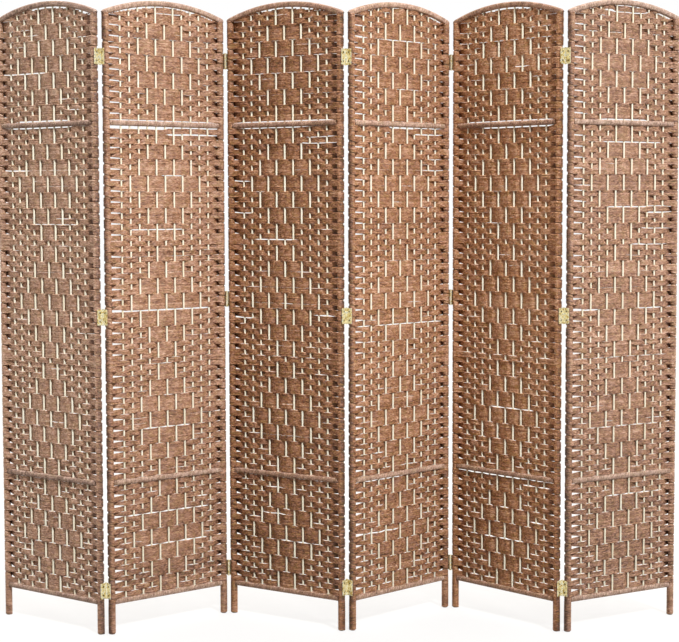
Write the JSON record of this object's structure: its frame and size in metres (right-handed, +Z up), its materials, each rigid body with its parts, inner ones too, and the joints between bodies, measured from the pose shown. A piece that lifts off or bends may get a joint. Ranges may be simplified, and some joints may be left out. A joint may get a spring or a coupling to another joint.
{
  "type": "folding screen",
  "caption": "Free-standing folding screen: hinged panels with arched tops, wooden frames and upright sticks woven with flat bands of brown paper cord, joined by brass butt hinges.",
  "frame": {"origin": "on the floor, under the middle of the standing screen's box", "axes": "+X along the row of panels, +Y from the front to the back, +Z up"},
  "size_m": [1.992, 0.3135, 1.8],
  "materials": {
    "frame_wood": "bare, sanded",
    "stick_wood": "bare, pale",
    "paper_cord": "twisted, matt",
    "brass": "bright"
  },
  "bodies": {
    "panel_1": {"panel_1_left_post": "frame_wood", "panel_1_right_post": "frame_wood", "panel_1_arch_rail": "frame_wood", "panel_1_cross_rails": "frame_wood", "panel_1_sticks": "stick_wood", "panel_1_weave": "paper_cord", "panel_1_cord_windings": "paper_cord", "panel_1_hinge_leaves": "brass", "panel_1_hinge_screws": "brass", "hinge_pins_1_2": "brass"},
    "panel_2": {"panel_2_left_post": "frame_wood", "panel_2_right_post": "frame_wood", "panel_2_arch_rail": "frame_wood", "panel_2_cross_rails": "frame_wood", "panel_2_sticks": "stick_wood", "panel_2_weave": "paper_cord", "panel_2_cord_windings": "paper_cord", "panel_2_hinge_leaves": "brass", "panel_2_hinge_screws": "brass", "hinge_pins_2_3": "brass"},
    "panel_3": {"panel_3_left_post": "frame_wood", "panel_3_right_post": "frame_wood", "panel_3_arch_rail": "frame_wood", "panel_3_cross_rails": "frame_wood", "panel_3_sticks": "stick_wood", "panel_3_weave": "paper_cord", "panel_3_cord_windings": "paper_cord", "panel_3_hinge_leaves": "brass", "panel_3_hinge_screws": "brass", "hinge_pins_3_4": "brass"},
    "panel_4": {"panel_4_left_post": "frame_wood", "panel_4_right_post": "frame_wood", "panel_4_arch_rail": "frame_wood", "panel_4_cross_rails": "frame_wood", "panel_4_sticks": "stick_wood", "panel_4_weave": "paper_cord", "panel_4_cord_windings": "paper_cord", "panel_4_hinge_leaves": "brass", "panel_4_hinge_screws": "brass", "hinge_pins_4_5": "brass"},
    "panel_5": {"panel_5_left_post": "frame_wood", "panel_5_right_post": "frame_wood", "panel_5_arch_rail": "frame_wood", "panel_5_cross_rails": "frame_wood", "panel_5_sticks": "stick_wood", "panel_5_weave": "paper_cord", "panel_5_cord_windings": "paper_cord", "panel_5_hinge_leaves": "brass", "panel_5_hinge_screws": "brass", "hinge_pins_5_6": "brass"},
    "panel_6": {"panel_6_left_post": "frame_wood", "panel_6_right_post": "frame_wood", "panel_6_arch_rail": "frame_wood", "panel_6_cross_rails": "frame_wood", "panel_6_sticks": "stick_wood", "panel_6_weave": "paper_cord", "panel_6_cord_windings": "paper_cord", "panel_6_hinge_leaves": "brass", "panel_6_hinge_screws": "brass"}
  },
  "joints": [
    {"name": "fold_1_2", "type": "hinge", "parent": "panel_2", "child": "panel_1", "pos_m": [-0.66112, -0.13984, 0], "axis": [0, 0, -1], "range_deg": [-72, 108]},
    {"name": "fold_2_3", "type": "hinge", "parent": "panel_3", "child": "panel_2", "pos_m": [-0.32842, 0.08332, 0], "axis": [0, 0, 1], "range_deg": [-68.5, 111.5]},
    {"name": "fold_3_4", "type": "hinge", "parent": "panel_3", "child": "panel_4", "pos_m": [0.02413, -0.10692, 0], "axis": [0, 0, 1], "range_deg": [-73, 107]},
    {"name": "fold_4_5", "type": "hinge", "parent": "panel_4", "child": "panel_5", "pos_m": [0.33829, 0.14165, 0], "axis": [0, 0, -1], "range_deg": [-86, 94]},
    {"name": "fold_5_6", "type": "hinge", "parent": "panel_5", "child": "panel_6", "pos_m": [0.63901, -0.12302, 0], "axis": [0, 0, 1], "range_deg": [-73, 107]}
  ]
}
